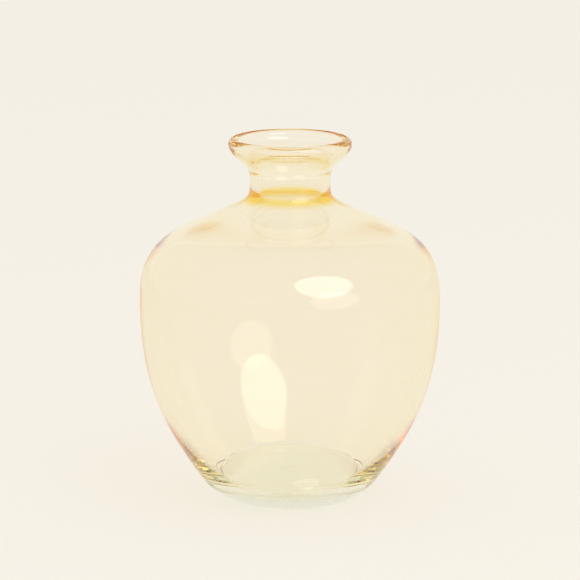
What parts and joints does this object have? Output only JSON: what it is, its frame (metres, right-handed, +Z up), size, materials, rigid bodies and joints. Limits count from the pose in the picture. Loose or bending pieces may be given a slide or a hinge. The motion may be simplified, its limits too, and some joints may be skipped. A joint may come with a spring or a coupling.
{
  "type": "glass bud vase",
  "caption": "Round-shouldered blown glass bud vase with a short neck, flared collar and beaded lip, under a thin amber coat.",
  "frame": {"origin": "centre of the flat ring that the vase stands on", "axes": "+Z up along the vase's axis of revolution, +X to the right seen from the front (-Y side)"},
  "size_m": [0.0986, 0.0986, 0.12],
  "materials": {
    "clear_glass": "fire-polished clear soda-lime glass, faintly green where it is thick",
    "amber_lacquer": "glossy translucent amber film"
  },
  "bodies": {
    "root": {"glass_vessel": "clear_glass", "amber_coat": "amber_lacquer"}
  },
  "joints": []
}
